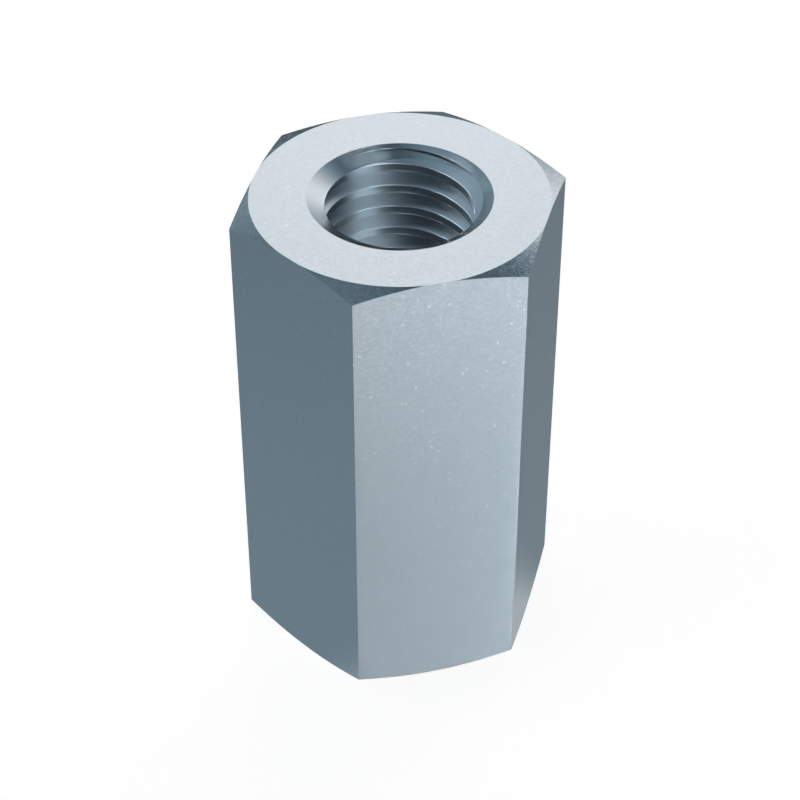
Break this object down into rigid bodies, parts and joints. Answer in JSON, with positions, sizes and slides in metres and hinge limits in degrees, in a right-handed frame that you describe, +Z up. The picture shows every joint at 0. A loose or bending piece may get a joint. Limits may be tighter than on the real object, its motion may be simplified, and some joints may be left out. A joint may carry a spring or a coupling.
{
  "type": "hexagonal coupling nut",
  "caption": "Long hexagonal nut that joins two threaded rods end to end, threaded right through, with chamfered corners and a countersink at each end face.",
  "frame": {"origin": "centre of the bottom end face, on the thread axis", "axes": "+Z up along the thread axis; +X through a corner of the hexagon; -Y and +Y face two opposite wrench flats"},
  "size_m": [0.0196, 0.017, 0.03],
  "materials": {
    "zinc_plated_steel": "bright blue-white zinc plate, faintly grained"
  },
  "bodies": {
    "root": {"coupling_nut": "zinc_plated_steel"}
  },
  "joints": []
}
